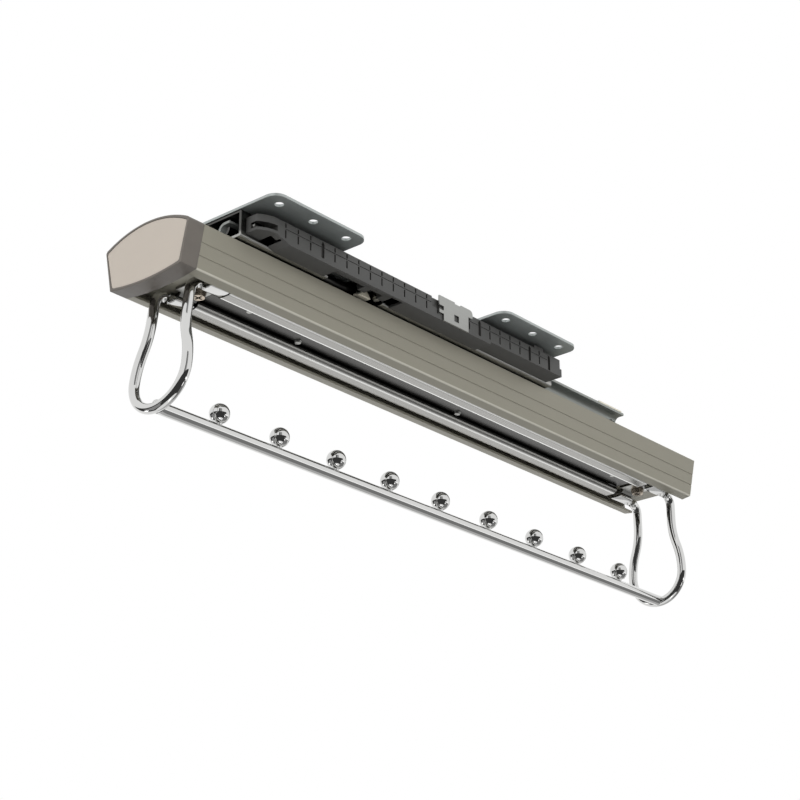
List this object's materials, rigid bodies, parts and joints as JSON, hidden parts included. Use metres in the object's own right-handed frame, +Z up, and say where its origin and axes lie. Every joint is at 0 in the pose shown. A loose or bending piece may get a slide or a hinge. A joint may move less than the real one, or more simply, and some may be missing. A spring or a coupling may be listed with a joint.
{
  "type": "pull-out clothes rail",
  "caption": "Pull-out clothes rail that hangs under a wardrobe shelf, with a soft-close ball-bearing slide, a housing, wire loops and a hanging rod with ball spacers.",
  "frame": {"origin": "centre of the front plate's hole pattern, on the plate's top face", "axes": "+X from the front cap to the rear, so the rail pulls out along -X; +Z up into the shelf; -Y is the side of the soft-close unit"},
  "size_m": [0.452, 0.12, 0.1105],
  "materials": {
    "dark_zinc": "passivated dark grey zinc",
    "zinc": "bright zinc",
    "damper_plastic": "moulded dark grey",
    "anodised": "anodised grey-beige, fine brushed",
    "cap_plastic": "moulded brown-grey",
    "cap_face": "satin pale beige",
    "chrome": "polished",
    "ball_steel": "polished",
    "yellow_zinc": "yellow passivated",
    "cream_plastic": "natural acetal"
  },
  "bodies": {
    "mount": {"front_plate": "dark_zinc", "rear_plate": "dark_zinc", "plate_rivets": "zinc", "fixed_rail": "zinc", "soft_close_case": "damper_plastic", "case_rivets": "zinc", "retaining_clip": "zinc", "damper_rod": "chrome", "catch_spring": "zinc"},
    "carriage": {"moving_rail": "zinc", "guide_pads": "cream_plastic", "housing": "anodised", "front_cap": "cap_plastic", "cap_plate": "cap_face", "carrier_channel": "zinc", "channel_rivets": "zinc", "front_saddle": "zinc", "rear_saddle": "zinc", "saddle_screws": "yellow_zinc", "saddle_nuts": "zinc", "front_loop": "chrome", "rear_loop": "chrome", "hanging_rod": "chrome", "hook_spacers": "chrome", "striker_arm": "zinc", "striker": "cream_plastic"},
    "ball_cages": {"left_cage": "yellow_zinc", "right_cage": "yellow_zinc", "left_balls": "ball_steel", "right_balls": "ball_steel"},
    "catch": {"catch_slider": "damper_plastic", "catch_fork": "zinc", "damper_cylinder": "damper_plastic"}
  },
  "joints": [
    {"name": "rail_slide", "type": "slide", "parent": "mount", "child": "carriage", "axis": [-1, 0, 0], "range_m": [0, 0.25]},
    {"name": "cage_slide", "type": "slide", "parent": "mount", "child": "ball_cages", "axis": [-1, 0, 0], "range_m": [0, 0.125]},
    {"name": "catch_slide", "type": "slide", "parent": "mount", "child": "catch", "axis": [-1, 0, 0], "range_m": [0, 0.022], "stiffness_N_per_m": 100, "deforming": ["catch_spring"]}
  ],
  "couplings": [
    {"joint": "cage_slide", "follows": "rail_slide", "ratio": 0.5}
  ]
}
